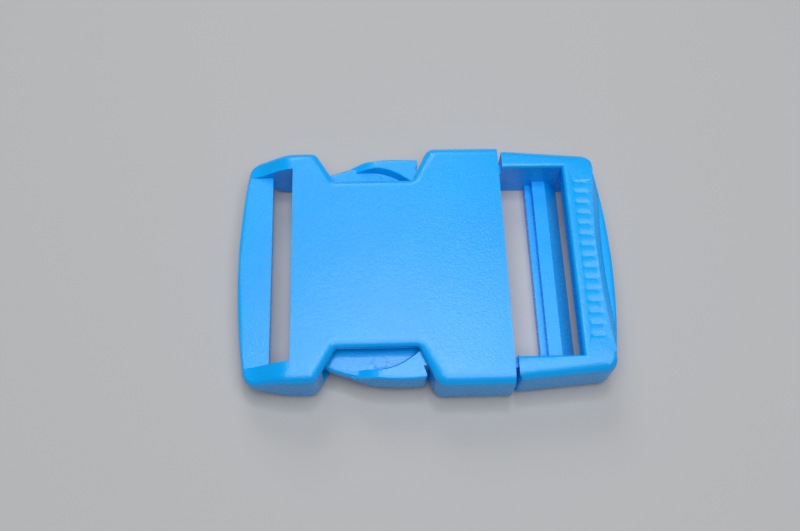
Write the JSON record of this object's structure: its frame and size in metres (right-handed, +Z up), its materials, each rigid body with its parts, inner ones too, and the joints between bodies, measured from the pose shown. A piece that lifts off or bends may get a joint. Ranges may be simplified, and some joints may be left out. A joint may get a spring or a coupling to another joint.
{
  "type": "side release buckle",
  "caption": "Wide side release buckle for webbing: a flat socket half with side notches and a bowed strap bar, and a prong half with arrow heads, a low webbing bar and a fluted grip bar.",
  "frame": {"origin": "middle of the buckle's length and width, on the surface it lies on", "axes": "+X from the socket's strap bar to the prong's thumb ledge, +Y across the buckle, +Z up out of the face with the flutes"},
  "size_m": [0.0934, 0.0646, 0.0127],
  "materials": {
    "plastic": "satin moulded azure blue plastic with a slight fine grain"
  },
  "bodies": {
    "root": {"socket_body": "plastic", "prong_body": "plastic"}
  },
  "joints": []
}
